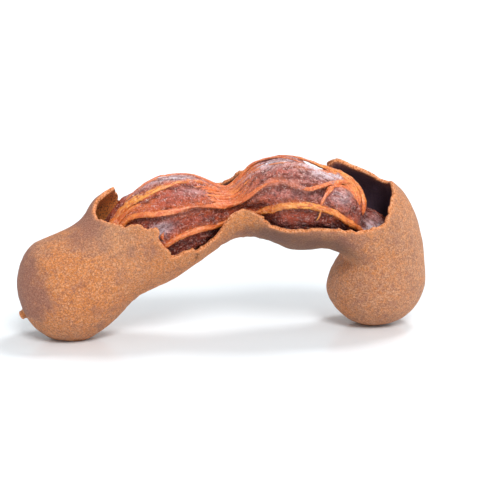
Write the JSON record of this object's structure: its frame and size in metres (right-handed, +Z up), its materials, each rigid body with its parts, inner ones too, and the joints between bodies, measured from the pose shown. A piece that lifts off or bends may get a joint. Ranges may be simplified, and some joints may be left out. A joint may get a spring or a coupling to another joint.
{
  "type": "opened tamarind pod",
  "caption": "Arched lobed tamarind pod lying on a surface, its brittle brown shell broken open along the top front to show glossy dark pulp and orange fibre strands.",
  "frame": {"origin": "centre of the bounding box's base, on the surface the pod stands on", "axes": "+Z up; +X from the stalk end to the end that is bent under; -Y is the side the shell is broken open on"},
  "size_m": [0.1091, 0.041, 0.0477],
  "materials": {
    "pod_shell": "matte, finely granular",
    "pod_pulp": "wet and sticky",
    "pod_strand": "fibrous, slightly moist"
  },
  "bodies": {
    "root": {"shell": "pod_shell", "pulp": "pod_pulp", "strand_crest": "pod_strand", "strand_top": "pod_strand", "strand_middle": "pod_strand", "strand_lower": "pod_strand"}
  },
  "joints": []
}
